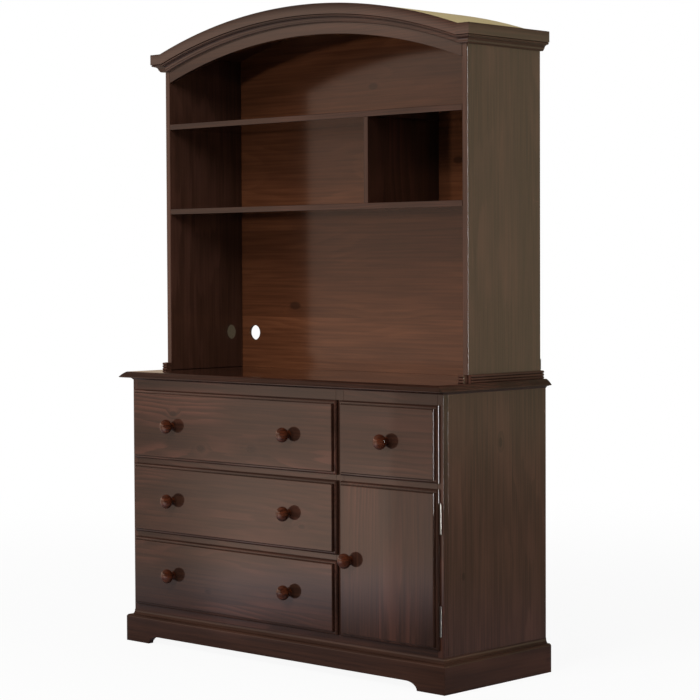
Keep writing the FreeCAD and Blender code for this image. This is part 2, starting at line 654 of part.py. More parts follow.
plinth_front, plinth_right, plinth_left = plinth()
export("plinth_front", plinth_front)
export("plinth_side_right", plinth_right)
export("plinth_side_left", plinth_left)
export("plinth_corner_blocks", corner_blocks())

shelf, shelf_height = cupboard_shelf()
pins = shelf_pins(shelf_height)
partition, packing_strip = case_partition()
export("case_side_right", drilled(case_side(), pins))
export("case_side_left", mirrored(case_side()))
export("case_partition", [drilled(partition, pins), packing_strip])
export("case_bottom", block((-INNER_X, INNER_X), (BACK_THICKNESS, FRAME_BACK),
                            (FLOOR_TOP - PANEL_THICKNESS, FLOOR_TOP)))
export("case_back", block((-INNER_X - 8, INNER_X + 8), (0, BACK_THICKNESS),
                          (FRAME_FOOT, CASE_TOP)))
export("cupboard_ceiling", cupboard_ceiling())
export("cupboard_shelf", shelf)
export("shelf_pins", pins)

stile, centre_stile, top_rails, mid_rails, bottom_rail = face_frame()
export("face_stile_right", stile)
export("face_stile_left", mirrored(stile))
export("face_stile_centre", centre_stile)
export("face_top_rails", top_rails)
export("face_mid_rails", mid_rails)
export("face_bottom_rail", bottom_rail)
export("dresser_top", dresser_top())
export("top_cove_strips", top_cove())

fixed_runners = []
for number, row in enumerate(reversed(ROW_BOTTOMS)):
    name = "drawer_%d" % (number + 1)
    places = (WIDE_X[0] + KNOB_INSET, WIDE_X[1] - KNOB_INSET)
    for piece, solids in drawer(WIDE_X, row, places).items():
        export(name + "_" + piece, solids)
    fixed_runners.append(case_runner(-INNER_X, 1, row + BOX_LIFT))
    fixed_runners.append(case_runner(CENTRE_X[0], -1, row + BOX_LIFT))

small_places = (sum(NARROW_X) / 2,)
for piece, solids in drawer(NARROW_X, ROW_BOTTOMS[2], small_places).items():
    export("small_drawer_" + piece, solids)
fixed_runners.append(case_runner(CENTRE_X[1], 1, ROW_BOTTOMS[2] + BOX_LIFT))
fixed_runners.append(case_runner(INNER_X, -1, ROW_BOTTOMS[2] + BOX_LIFT))
export("case_runners", fixed_runners)

door_panel, door_knob, strike_plate = door()
export("door_panel", door_panel)
export("door_knob", door_knob)
export("door_strike_plate", strike_plate)
export("door_catch", door_catch())
door_ends = (FIRST_ROW + HINGE_INSET, FIRST_ROW + DOOR_HEIGHT - HINGE_INSET)
hinges = [hinge(z) for z in door_ends]
export("hinge_frame_leaves", [frame_half for frame_half, door_half in hinges])
export("hinge_door_leaves", [door_half for frame_half, door_half in hinges])

crown_front, crown_right, crown_left = crown()
export("hutch_side_right", hutch_side())
export("hutch_side_left", mirrored(hutch_side()))
export("hutch_back", hutch_back())
export("hutch_roof", hutch_roof())
export("hutch_arch_rail", arch_rail())
shelf_depth = (12.0, HUTCH_DEPTH)
for name, z in (("hutch_shelf_lower", LOWER_SHELF), ("hutch_shelf_upper", UPPER_SHELF)):
    export(name, block((-HUTCH_INNER, HUTCH_INNER), shelf_depth, (z, z + PANEL_THICKNESS)))
export("hutch_divider", block((DIVIDER_X - PANEL_THICKNESS / 2, DIVIDER_X + PANEL_THICKNESS / 2),
                              shelf_depth, (LOWER_SHELF + PANEL_THICKNESS, UPPER_SHELF)))
export("crown_front", crown_front)
export("crown_side_right", crown_right)
export("crown_side_left", crown_left)
export("hutch_foot_mouldings", foot_mouldings())
export("hutch_join_plates", join_plates())
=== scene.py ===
"""Looks of a stained pine dresser with an arched hutch, built around its packed construction."""
import logging
import math
from dataclasses import dataclass, field
from enum import Enum

import bmesh
import bpy
import numpy as np
from mathutils import Matrix, Vector


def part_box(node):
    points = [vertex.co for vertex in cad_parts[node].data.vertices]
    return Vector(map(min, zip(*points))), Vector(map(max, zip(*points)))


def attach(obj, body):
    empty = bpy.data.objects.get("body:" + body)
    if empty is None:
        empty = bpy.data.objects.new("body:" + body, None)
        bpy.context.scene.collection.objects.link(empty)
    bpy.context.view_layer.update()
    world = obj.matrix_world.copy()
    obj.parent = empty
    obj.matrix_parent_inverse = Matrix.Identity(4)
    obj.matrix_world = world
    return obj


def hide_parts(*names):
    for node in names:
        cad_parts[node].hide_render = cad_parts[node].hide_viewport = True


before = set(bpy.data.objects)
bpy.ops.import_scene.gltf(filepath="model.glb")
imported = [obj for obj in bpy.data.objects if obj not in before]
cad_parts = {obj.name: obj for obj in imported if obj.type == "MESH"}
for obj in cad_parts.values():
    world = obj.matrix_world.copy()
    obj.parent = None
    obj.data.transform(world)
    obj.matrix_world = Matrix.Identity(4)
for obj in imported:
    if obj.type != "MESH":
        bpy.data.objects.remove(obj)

log = logging.getLogger("dresser")
CARCASE = "carcase"
DOOR = "door"
WHITE = (1.0, 1.0, 1.0, 1.0)
TO_THE_LEFT = np.array([-1.0, 1.0, 1.0])  # mirrors a right-hand shape
WELD = 1e-6  # metres within which two points are one
CRISP = 32.0  # degrees of turn from which an edge stays crisp


# --- shader writing
class Signal:
    """One output socket of a node tree that takes part in sums written as Python."""

    def __init__(self, shader: "Shader", socket: bpy.types.NodeSocket) -> None:
        """Keep the socket and the tree it belongs to."""
        self.shader = shader
        self.socket = socket

    def _sum(self, operation: str, *values: "Signal | float") -> "Signal":
        """Add one Math node, whose inputs take the values in order."""
        return self.shader.node("Math", {"operation": operation}, dict(enumerate(values)))

    def __add__(self, other: "Signal | float") -> "Signal":
        """Sum of two values."""
        return self._sum("ADD", self, other)

    def __radd__(self, other: float) -> "Signal":
        """Sum with a number on the left."""
        return self._sum("ADD", other, self)

    def __sub__(self, other: "Signal | float") -> "Signal":
        """Difference of two values."""
        return self._sum("SUBTRACT", self, other)

    def __rsub__(self, other: float) -> "Signal":
        """Difference from a number on the left."""
        return self._sum("SUBTRACT", other, self)

    def __mul__(self, other: "Signal | float") -> "Signal":
        """Product of two values."""
        return self._sum("MULTIPLY", self, other)

    def __rmul__(self, other: float) -> "Signal":
        """Product with a number on the left."""
        return self._sum("MULTIPLY", other, self)

    def __truediv__(self, other: "Signal | float") -> "Signal":
        """Quotient of two values."""
        return self._sum("DIVIDE", self, other)

    def floor(self) -> "Signal":
        """Whole number below."""
        return self._sum("FLOOR", self)

    def fraction(self) -> "Signal":
        """Part after the whole number."""
        return self._sum("FRACT", self)

    def root(self) -> "Signal":
        """Square root."""
        return self._sum("SQRT", self)

    def at_least(self, least: float) -> "Signal":
        """The value, or the least that is allowed."""
        return self._sum("MAXIMUM", self, least)

    def step(self, low: float, high: float) -> "Signal":
        """Smooth change from 0 at low to 1 at high."""
        settings = {"interpolation_type": "SMOOTHSTEP"}
        return self.shader.node("MapRange", settings, {0: self, 1: low, 2: high})


class Shader:
    """The node tree of a material or of the world, with one way to add any node."""

    def __init__(self, owner: bpy.types.Material | bpy.types.World) -> None:
        """Start an empty tree.

        Args:
            owner: the material or world that the tree belongs to.
        """
        owner.use_nodes = True
        self.owner = owner
        self.tree = owner.node_tree
        self.tree.nodes.clear()

    @classmethod
    def of_material(cls, name: str) -> "Shader":
        """The tree of a new material."""
        return cls(bpy.data.materials.new(name))

    def node(
        self,
        kind: str,
        settings: dict[str, object] | None = None,
        sockets: dict[int | str, object] | None = None,
        output: int | str = 0,
    ) -> Signal:
        """Add a node.

        Args:
            kind: the node's type without its ShaderNode prefix.
            settings: properties that are set before the sockets.
            sockets: a value or a Signal for each input, by place or name.
            output: which output is wanted.

        Returns:
            The wanted output.
        """
        node = self.tree.nodes.new("ShaderNode" + kind)
        for name, value in (settings or {}).items():
            setattr(node, name, value)
        for key, value in (sockets or {}).items():
            if isinstance(value, Signal):
                self.tree.links.new(value.socket, node.inputs[key])
            else:
                node.inputs[key].default_value = value
        return Signal(self, node.outputs[output] if node.outputs else None)

    def mix(self, share: Signal | float, first: object, second: object) -> Signal:
        """Blend two colours; share is how much of the second shows."""
        return self.node("Mix", {"data_type": "RGBA"}, {0: share, 6: first, 7: second}, 2)

    def shade(self, colour: Signal, amount: Signal) -> Signal:
        """Multiply a colour by a value."""
        return self.node("VectorMath", {"operation": "SCALE"}, {0: colour, 3: amount})

    def noise(self, place: Signal, detail: float = 2.0, scale: float = 1.0) -> Signal:
        """Soft noise between 0 and 1 at a place."""
        values = {"Vector": place, "Scale": scale, "Detail": detail}
        return self.node("TexNoise", None, values, "Fac")

    def bump(self, strength: float, distance: float, height: Signal) -> Signal:
        """A normal that leans as a relief of this height does."""
        values = {"Strength": strength, "Distance": distance, "Height": height}
        return self.node("Bump", None, values, "Normal")

    def point(self, x: object, y: object, z: object) -> Signal:
        """A vector from three values."""
        return self.node("CombineXYZ", None, {0: x, 1: y, 2: z})

    def split(self, vector: Signal) -> tuple[Signal, ...]:
        """The three values of a vector."""
        outputs = self.node("SeparateXYZ", None, {0: vector}).socket.node.outputs
        return tuple(Signal(self, output) for output in outputs)

    def place(self) -> Signal:
        """Object coordinates, which are the frame's own metres."""
        return self.node("TexCoord", None, None, "Object")

    def ray(self, kind: str) -> Signal:
        """1 for rays of one kind, as the Light Path node names it, and 0 for others."""
        return self.node("LightPath", None, None, f"Is {kind} Ray")

    def close(self, shader: Signal, output: str = "OutputMaterial") -> bpy.types.ID:
        """Lead a shader to the tree's output, and give back the material or world."""
        self.node(output, None, {"Surface": shader})
        return self.owner

    def surface(self, values: dict[str, object]) -> bpy.types.Material:
        """End the tree with a Principled surface that has these values."""
        return self.close(self.node("BsdfPrincipled", None, values))


def tint(code: str) -> tuple[float, ...]:
    """A colour written as six hexadecimal digits, as the linear values that a socket takes."""
    parts = [int(code[index:index + 2], 16) / 255 for index in (0, 2, 4)]
    return (*(c / 12.92 if c <= 0.04045 else ((c + 0.055) / 1.055) ** 2.4 for c in parts), 1.0)


# --- finishes
class Grain(Enum):
    """Which frame axes run along a board's grain, across its width and through it."""

    LEVEL_FRONT = (0, 2, 1)
    UPRIGHT_FRONT = (2, 0, 1)
    UPRIGHT_SIDE = (2, 1, 0)
    LEVEL_FLAT = (0, 1, 2)
    DEPTH_SIDE = (1, 2, 0)


@dataclass(frozen=True)
class Knot:
    """A knot in a board: its place along the grain and across it, and its size, in metres."""

    along: float
    across: float
    size: float


@dataclass(frozen=True)
class Stain:
    """The colours of one stained wood, and the roughness of the gloss lacquer over it."""

    deep: str
    body: str
    red: str
    knot: str
    lacquer: float = 0.035
    coat: float = 1.0

    def gloss(self) -> dict[str, float]:
        """The surface values that make the clear coat."""
        return {"Specular IOR Level": 0.15, "Coat Weight": self.coat, "Coat IOR": 1.7,
                "Coat Roughness": self.lacquer}


ESPRESSO = Stain(deep="231511", body="392319", red="663d31", knot="160b08")
# A lighter copy of ESPRESSO for the boards that face the sides: painted light that makes up for the
# side faces getting less lamp light than the fronts.
ESPRESSO_SIDE_PAINTED_LIGHT = Stain(deep="35221a", body="503429", red="6a463a", knot="1d130f")
SHADED_PINE = Stain(deep="2a1a14", body="40281e", red="58372a", knot="180d09", lacquer=0.12,
                    coat=0.6)
RED_PINE = Stain(deep="452616", body="603823", red="885437", knot="1e110b", lacquer=0.13)
TURNED_RED = Stain(deep="2e130a", body="4f2514", red="763b21", knot="1a0a06")


@dataclass(frozen=True)
class Finish:
    """A finish that becomes one material under its own name."""

    name: str

    def material(self) -> bpy.types.Material:
        """The finish as a material, made the first time that it is asked for."""
        return bpy.data.materials.get(self.name) or self.paint(Shader.of_material(self.name))

    def paint(self, s: Shader) -> bpy.types.Material:
        """Write the finish into an empty tree, as each kind of finish does."""
        raise NotImplementedError


@dataclass(frozen=True)
class StainedPine(Finish):
    """Stained pine boards glued edge to edge, with growth rings, streaks, knots and lacquer."""

    grain: Grain
    seed: float
    stain: Stain = ESPRESSO
    strip: float = 0.13
    knots: tuple[Knot, ...] = ()
    figure: float = 1.0
    seed_shift: float = 0.37
    ring_gap: float = 0.0085
    knot_stretch: float = 1.9

    def paint(self, s: Shader) -> bpy.types.Material:
        """Write the boards, their rings, their knots and the lacquer.

        The rings are the cut of a board through a log: the distance from a pith line that
        wanders along the grain, divided by the ring gap. Knots push the rings aside.

        Args:
            s: the empty tree.

        Returns:
            The material.
        """
        axes = s.split(s.place())
        along, across, through = (axes[index] for index in self.grain.value)
        shifted = across + self.seed * self.seed_shift
        strip_number = (shifted / self.strip).floor()
        chance = s.node("TexWhiteNoise", {"noise_dimensions": "1D"},
                        {"W": strip_number + self.seed}, "Color")
        pick, offset, depth = s.split(chance)
        local = shifted - (strip_number + 0.5) * self.strip
        wander = s.noise(s.point(along * 1.6 + offset * 9.0, across * 4.0, self.seed)) - 0.5
        side = local + (pick - 0.5) * self.strip * 1.5 + wander * 0.05
        rise = s.noise(s.point(along * 0.9 + pick * 7.0, self.seed, offset * 5.0), 1.0)
        below = 0.012 + depth * 0.05 + rise * 0.09 + through
        pith = (side * side + below * below).root()
        knot_core = None
        for knot in self.knots:
            reach = (along - knot.along) / self.knot_stretch
            cross = across - knot.across
            far = (reach * reach + cross * cross).root() / knot.size
            pith = pith + far.step(2.6, 0.2) * knot.size * 0.9
            core = far.step(1.05, 0.55)
            knot_core = core if knot_core is None else knot_core + core
        ripple = s.noise(s.point(along * 5.0, across * 60.0, pick * 3.0)) - 0.5
        ring = (pith / self.ring_gap + ripple * 0.8).fraction()
        late = ring.step(0.15, 0.85) * ring.step(1.0, 0.88)
        coarse = s.noise(s.point(along * 3.2 + offset * 4.0, across * 130.0, through * 130.0))
        fine = s.noise(s.point(along * 14.0, across * 700.0, through * 700.0), 1.0)
        cloud = s.noise(s.point(along * 2.0 + pick, across * 7.0, self.seed * 2.0), 3.0)
        tone = coarse.step(0.30, 0.74) * 0.65 + fine * 0.35
        colour = s.mix(tone, tint(self.stain.deep), tint(self.stain.body))
        red = (late * 0.42 + 0.10) * cloud.step(0.38, 0.72) * self.figure
        colour = s.mix(red, colour, tint(self.stain.red))
        colour = s.shade(colour, 0.88 + pick * 0.22 - late * 0.06)
        if knot_core is not None:
            colour = s.mix(knot_core * 0.6, colour, tint(self.stain.knot))
        relief = s.bump(0.18, 0.0004, fine * 0.7 + coarse * 0.6 + late * 0.4)
        return s.surface({"Base Color": colour, "Roughness": 0.34 - fine * 0.1 + cloud * 0.05,
                          "Normal": relief, **self.stain.gloss()})


@dataclass(frozen=True)
class TurnedWood(Finish):
    """Stained, polished wood of a turned piece, with fine end-grain figure on its front."""

    stain: Stain = TURNED_RED

    def paint(self, s: Shader) -> bpy.types.Material:
        """Write the flow of the grain, its specks and the polish.

        Args:
            s: the empty tree.

        Returns:
            The material.
        """
        x, y, z = s.split(s.place())
        flow = s.noise(s.point(x * 40.0, y * 12.0, z * 160.0), 3.0)
        speck = s.noise(s.point(x * 700.0, y * 90.0, z * 700.0), 1.0)
        colour = s.mix(flow.step(0.3, 0.7), tint(self.stain.deep), tint(self.stain.body))
        colour = s.mix(speck.step(0.55, 0.8) * 0.35, colour, tint(self.stain.red))
        return s.surface({"Base Color": colour, "Roughness": 0.22 + speck * 0.05,
                          "Normal": s.bump(0.03, 0.0003, flow), **self.stain.gloss()})


@dataclass(frozen=True)
class PlainWood(Finish):
    """Unstained wood or board: pale, matt, with fibres and a few darker rings."""

    grain: Grain
    pale: str
    dark: str
    roughness: float = 0.62
    ring_gap: float = 0.011

    def paint(self, s: Shader) -> bpy.types.Material:
        """Write rings that bend along the grain, and fibres.

        Args:
            s: the empty tree.

        Returns:
            The material.
        """
        axes = s.split(s.place())
        along, across, through = (axes[index] for index in self.grain.value)
        bend = s.noise(s.point(along * 1.3, across * 5.0, through * 5.0))
        ring = ((across + bend * 0.09) / self.ring_gap).fraction()
        fibre = s.noise(s.point(along * 9.0, across * 420.0, through * 420.0))
        amount = ring.step(0.4, 0.95) * ring.step(1.0, 0.95) * 0.45 + fibre * 0.4
        colour = s.mix(amount, tint(self.pale), tint(self.dark))
        return s.surface({"Base Color": colour, "Roughness": self.roughness - fibre * 0.08,
                          "Normal": s.bump(0.25, 0.0004, fibre)})


@dataclass(frozen=True)
class BentPly(Finish):
    """Plywood bent to an arch: bare with wide soft figure on top, thin glued layers on its
    edges, and dark in the hutch back's colours on the side that faces into the hutch."""

    radius: float
    centre: float
    thickness: float = 0.005
    layers: int = 4
    pale: str = "e2d09c"
    dark: str = "b99b66"

    def paint(self, s: Shader) -> bpy.types.Material:
        """Write the figure, and the layers and the dark side by the distance from the axis.

        Args:
            s: the empty tree.

        Returns:
            The material.
        """
        x, y, z = s.split(s.place())
        swirl = s.noise(s.point(x * 2.0, y * 9.0, 0.0), 3.0)
        figure = ((y + swirl * 0.12) / 0.018).fraction()
        fibre = s.noise(s.point(x * 14.0, y * 500.0, z * 60.0))
        rise = z - self.centre
        depth = self.radius - (x * x + rise * rise).root()
        layer = (depth / (self.thickness / self.layers) + 0.5).fraction()
        glue = layer.step(0.62, 0.5) * layer.step(0.38, 0.5) * depth.step(0.0006, 0.0009)
        amount = figure.step(0.3, 0.9) * figure.step(1.0, 0.93) * 0.4 + fibre * 0.3 + glue * 0.5
        bare = s.mix(amount, tint(self.pale), tint(self.dark))
        under = depth.step(self.thickness - 0.0006, self.thickness - 0.0002)
        colour = s.mix(under, bare, s.mix(fibre, tint(RED_PINE.deep), tint(RED_PINE.body)))
        return s.surface({"Base Color": colour, "Roughness": 0.68 - fibre * 0.1})


@dataclass(frozen=True)
class Metal(Finish):
    """Plated or coated steel with light brushing."""

    colour: str
    metallic: float
    roughness: float
    dull: str = "8a8781"

    def paint(self, s: Shader) -> bpy.types.Material:
        """Write the brushing and a faint cloud.

        Args:
            s: the empty tree.

        Returns:
            The material.
        """
        x, y, z = s.split(s.place())
        brush = s.noise(s.point(x * 900.0, y * 900.0, z * 40.0))
        cloud = s.noise(s.point(x * 30.0, y * 30.0, z * 30.0))
        colour = s.mix(cloud * 0.35, tint(self.colour), tint(self.dull))
        return s.surface({"Base Color": colour, "Metallic": self.metallic,
                          "Normal": s.bump(0.08, 0.0002, brush),
                          "Roughness": self.roughness - 0.05 + brush * 0.12})


@dataclass(frozen=True)
class Moulded(Finish):
    """Moulded plastic with a fine spark-eroded grain."""

    colour: str
    fleck: str

    def paint(self, s: Shader) -> bpy.types.Material:
        """Write the grain.

        Args:
            s: the empty tree.

        Returns:
            The material.
        """
        grain = s.noise(s.place(), scale=1800.0)
        colour = s.mix(grain * 0.3, tint(self.colour), tint(self.fleck))
        return s.surface({"Base Color": colour, "Roughness": 0.45 + grain * 0.1,
                          "Normal": s.bump(0.3, 0.0002, grain)})


DRAWER_WALLS = PlainWood("drawer_box_walls", Grain.DEPTH_SIDE, "c9ab7c", "9d7a4c")
BOTTOM_BOARD = PlainWood("drawer_bottom_board", Grain.LEVEL_FLAT, "c2a274", "a98556", 0.5)
BLOCK_WOOD = PlainWood("glue_block_wood", Grain.UPRIGHT_FRONT, "b9986a", "8f6d43", 0.75)
BACK_BOARD = PlainWood("back_board", Grain.UPRIGHT_FRONT, "6f4f33", "553a25", 0.7)
NICKEL = Metal("hinge_nickel", "85827c", 1.0, 0.36)
EPOXY = Metal("runner_epoxy", "cfc8b8", 0.0, 0.42)
CATCH = Moulded("catch_housing", "2e2119", "4a3a2e")


# --- meshes
class Arris(Enum):
    """Width in metres by which the arrises of one kind of piece are eased."""

    KEPT = 0.0
    METAL = 0.0002
    STRIP = 0.0003
    THIN_BOARD = 0.0004
    RAIL = 0.0005
    HIDDEN = 0.0006
    STILE = 0.0008
    BOX = 0.0010
    BOARD = 0.0012
    SHELF = 0.0015
    UPRIGHT = 0.0022


def placed(name: str, data: bpy.types.ID) -> bpy.types.Object:
    """Put a mesh, a lamp or a camera into the scene.

    Args:
        name: the object's name.
        data: what the object shows.

    Returns:
        The new object.
    """
    thing = bpy.data.objects.new(name, data)
    bpy.context.scene.collection.objects.link(thing)
    return thing


def smooth(mesh: bpy.types.Mesh, sharp: float) -> None:
    """Shade a mesh smooth, but for edges that turn more than so many degrees."""
    mesh.shade_smooth()
    mesh.set_sharp_from_angle(angle=math.radians(sharp))


def grid_faces(rows: int, columns: int) -> np.ndarray:
    """Quads between neighbouring rows of points, of which each row closes on itself.

    Args:
        rows: number of rows.
        columns: points in each row.

    Returns:
        An array of four point numbers for each quad.
    """
    row = np.arange(rows - 1)[:, None] * columns
    place = np.arange(columns)[None, :]
    after = (place + 1) % columns
    corners = (row + place, row + after, row + columns + after, row + columns + place)
    return np.stack(corners, -1).reshape(-1, 4)


def loft(name: str, stations: np.ndarray, sharp: float = CRISP) -> bpy.types.Object:
    """A closed section carried through stations, with flat ends.

    Args:
        name: the object's name.
        stations: (stations, points, 3) places of the section at each station, in metres.
        sharp: edges that turn more than this many degrees stay crisp.

    Returns:
        The new object, with its faces pointing outwards.
    """
    count, around = stations.shape[:2]
    faces = grid_faces(count, around).tolist()
    faces += [list(range(around)), list(range((count - 1) * around, count * around))]
    mesh = bpy.data.meshes.new(name)
    mesh.from_pydata(stations.reshape(-1, 3).tolist(), [], faces)
    shell = bmesh.new()
    shell.from_mesh(mesh)
    bmesh.ops.remove_doubles(shell, verts=shell.verts, dist=WELD)
    bmesh.ops.recalc_face_normals(shell, faces=shell.faces)
    shell.to_mesh(mesh)
    shell.free()
    smooth(mesh, sharp)
    return placed(name, mesh)


def corner_rings(*corners: tuple[np.ndarray, ...]) -> np.ndarray:
    """Stations for loft, from the runs of x, y and z that each corner of a panel takes."""
    return np.stack([np.column_stack(corner) for corner in corners], 1)


def arc(centre: tuple[float, float], radius: float, first: float, last: float,
        count: int) -> np.ndarray:
    """Points on a circular arc, from one angle to another in degrees."""
    angle = np.radians(np.linspace(first, last, count))
    return np.column_stack([centre[0] + radius * np.cos(angle), centre[1] + radius * np.sin(angle)])


def lathe(name: str, profile: np.ndarray, centre: Vector, around: int = 56) -> bpy.types.Object:
    """A turned piece: a (radius, distance) profile spun about a line that runs forward.

    Args:
        name: the object's name.
        profile: (n, 2) radii and distances along the line.
        centre: where the line starts.
        around: points in each turn.

    Returns:
        The new object.
    """
    turn = np.linspace(0, 2 * np.pi, around, endpoint=False)
    spin = Vector((0, -1, 0)).to_track_quat("Z", "Y").to_matrix()
    radius, along = profile[:, 0][:, None], profile[:, 1][:, None]
    points = np.stack([radius * np.cos(turn), radius * np.sin(turn), along + 0 * turn], -1)
    return loft(name, points @ np.array(spin).T + np.array(centre), sharp=40.0)


def eased_copy(node: str, ease: float) -> bpy.types.Object:
    """A construction piece with its sharp arrises eased, as a planed and sanded board has.

    Args:
        node: the piece to copy.
        ease: width of the eased arris in metres.

    Returns:
        The new object, which stands for the construction piece.
    """
    shell = bmesh.new()
    shell.from_mesh(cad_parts[node].data)
    bmesh.ops.remove_doubles(shell, verts=shell.verts, dist=WELD)
    bmesh.ops.dissolve_limit(shell, angle_limit=math.radians(0.6), verts=shell.verts,
                             edges=shell.edges)
    mesh = bpy.data.meshes.new(node + "_eased")
    shell.to_mesh(mesh)
    shell.free()
    for layer in ("custom_normal", "sharp_face", "sharp_edge"):
        if layer in mesh.attributes:
            mesh.attributes.remove(mesh.attributes[layer])
    smooth(mesh, CRISP)
    piece = placed(mesh.name, mesh)
    if ease > 0:
        bevel = piece.modifiers.new("eased_arris", "BEVEL")
        bevel.width = ease
        bevel.segments = 2
        bevel.limit_method = "ANGLE"
        bevel.angle_limit = math.radians(38)
        bevel.harden_normals = True
        bevel.use_clamp_overlap = True
    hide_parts(node)
    return piece


def joined(name: str, pieces: list[bpy.types.Object]) -> bpy.types.Object:
    """One object from several finished meshes.

    Args:
        name: the object's name.
        pieces: the objects to join, which go.

    Returns:
        The new object.
    """
    shell = bmesh.new()
    for piece in pieces:
        shell.from_mesh(piece.data)
        bpy.data.objects.remove(piece)
    mesh = bpy.data.meshes.new(name)
    shell.to_mesh(mesh)
    shell.free()
    return placed(name, mesh)


# --- sub-assemblies
@dataclass
class Assembly:
    """A group of pieces that rides on one body."""

    body: str = CARCASE
    made: list[bpy.types.Object] = field(default_factory=list)

    def dress(self, piece: bpy.types.Object, finish: Finish, slot: str = "stained_pine") -> None:
        """Give a piece its finish and its body.

        Args:
            piece: the piece, in place.
            finish: what it is finished with.
            slot: the record's material slot that it belongs to; not used.
        """
        piece.data.materials.clear()
        piece.data.materials.append(finish.material())
        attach(piece, self.body)
        self.made.append(piece)

    def board(self, node: str, finish: Finish, slot: str = "stained_pine",
              arris: Arris = Arris.BOARD) -> None:
        """Stand an eased copy for a construction board and finish it."""
        self.dress(eased_copy(node, arris.value), finish, slot)

    def report(self) -> None:
        """Log what was built."""
        log.info("%s: %s", type(self).__name__, ", ".join(p.name for p in self.made))


@dataclass
class Plinth(Assembly):
    """Bracket-footed plinth with its glue blocks."""

    def build(self) -> None:
        """Finish the three boards and the blocks inside."""
        self.board("plinth_front",
                   StainedPine("plinth_front_pine", Grain.LEVEL_FRONT, 3.1, SHADED_PINE))
        for side, seed in (("left", 5.3), ("right", 7.7)):
            self.board("plinth_side_" + side, StainedPine("plinth_side_pine_" + side,
                                                          Grain.DEPTH_SIDE, seed, SHADED_PINE))
        self.board("plinth_corner_blocks", BLOCK_WOOD, "drawer_box_wood", Arris.HIDDEN)


@dataclass(frozen=True)
class ThumbnailEdge:
    """Section of the dresser top's edge, from the field to the underside.

    An eased arris, then a fall that steepens as the square of the way out, and a small round
    nose that tucks under.
    """

    start: float = 0.0192
    tip: float = 0.0152
    nose: float = 0.0019
    field_inset: float = 0.0392
    under_inset: float = 0.0024

    def section(self, thickness: float) -> tuple[np.ndarray, np.ndarray]:
        """The edge as two runs of numbers.

        Args:
            thickness: the slab's, in metres.

        Returns:
            How far in from the end each point lies, and how far it drops.
        """
        start, tip, nose = self.start, self.tip, self.nose
        way = np.linspace(0, 1, 14)
        turn = np.radians(np.linspace(40, -75, 7))
        fall_inset, fall = start - (start - 0.0010) * way, -tip * (0.55 * way + 0.45 * way ** 2)
        tuck_inset, tuck = nose - nose * np.cos(turn), nose * np.sin(turn) - tip - nose * 0.75
        return (np.concatenate([[self.field_inset], fall_inset, tuck_inset, [self.under_inset]]),
                np.concatenate([[0.0], fall, tuck, [-thickness]]))


@dataclass
class Case(Assembly):
    """The dresser's case: panels, face frame, top and what is fixed inside."""

    side_strip: float = 0.11
    inner_strip: float = 0.12
    frame_strip: float = 0.09
    edge: ThumbnailEdge = ThumbnailEdge()

    def build(self) -> None:
        """Build the panels, the face frame, the top and the inner fittings."""
        right_knots = (Knot(0.71, 0.05, 0.010), Knot(0.33, -0.12, 0.008))
        for side, ending, seed, knots in (("right", "", 2.4, right_knots),
                                          ("left", "_left", 8.2, ())):
            pine = StainedPine("case_side_pine" + ending, Grain.UPRIGHT_SIDE, seed, ESPRESSO_SIDE_PAINTED_LIGHT,
                               self.side_strip, knots)
            self.board("case_side_" + side, pine)
        inner = StainedPine("inner_pine_upright", Grain.UPRIGHT_SIDE, 4.5, SHADED_PINE,
                            self.inner_strip)
        flat = StainedPine("inner_pine_flat", Grain.LEVEL_FLAT, 6.5, SHADED_PINE, self.inner_strip)
        self.board("case_partition", inner)
        self.board("case_bottom", flat, arris=Arris.HIDDEN)
        self.board("cupboard_shelf", flat)
        self.board("cupboard_ceiling", BOTTOM_BOARD, "drawer_box_wood", Arris.HIDDEN)
        self.board("case_back", BACK_BOARD, "back_hardboard", Arris.THIN_BOARD)
        upright = StainedPine("stile_pine", Grain.UPRIGHT_FRONT, 1.7, ESPRESSO, self.frame_strip)
        level = StainedPine("rail_pine", Grain.LEVEL_FRONT, 2.9, ESPRESSO, self.frame_strip)
        for place in ("left", "centre", "right"):
            self.board("face_stile_" + place, upright, arris=Arris.STILE)
        for place in ("top_rails", "mid_rails", "bottom_rail"):
            self.board("face_" + place, level, arris=Arris.RAIL)
        self.board("top_cove_strips", level, arris=Arris.STRIP)
        self.build_top()
        self.board("case_runners", EPOXY, "runner_steel", Arris.KEPT)
        self.board("shelf_pins", NICKEL, "hinge_steel", Arris.METAL)
        self.board("door_catch", CATCH, "catch_plastic", Arris.STILE)

    def build_top(self) -> None:
        """The dresser top as rings of four corners that follow the thumbnail edge at the front
        and the ends, and that keep to the back."""
        low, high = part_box("dresser_top")
        inset, drop = self.edge.section(high.z - low.z)
        left, right = low.x + inset, high.x - inset
        front, back = low.y + inset, np.full_like(inset, high.y)
        level = high.z + drop
        rings = corner_rings((left, back, level), (left, front, level), (right, front, level),
                             (right, back, level))
        top = loft("dresser_top_slab", rings, sharp=35.0)
        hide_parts("dresser_top")
        knots = (Knot(-0.31, -0.13, 0.012), Knot(0.22, 0.02, 0.009))
        self.dress(top, StainedPine("top_pine", Grain.LEVEL_FLAT, 9.4, ESPRESSO, self.inner_strip,
                                    knots))


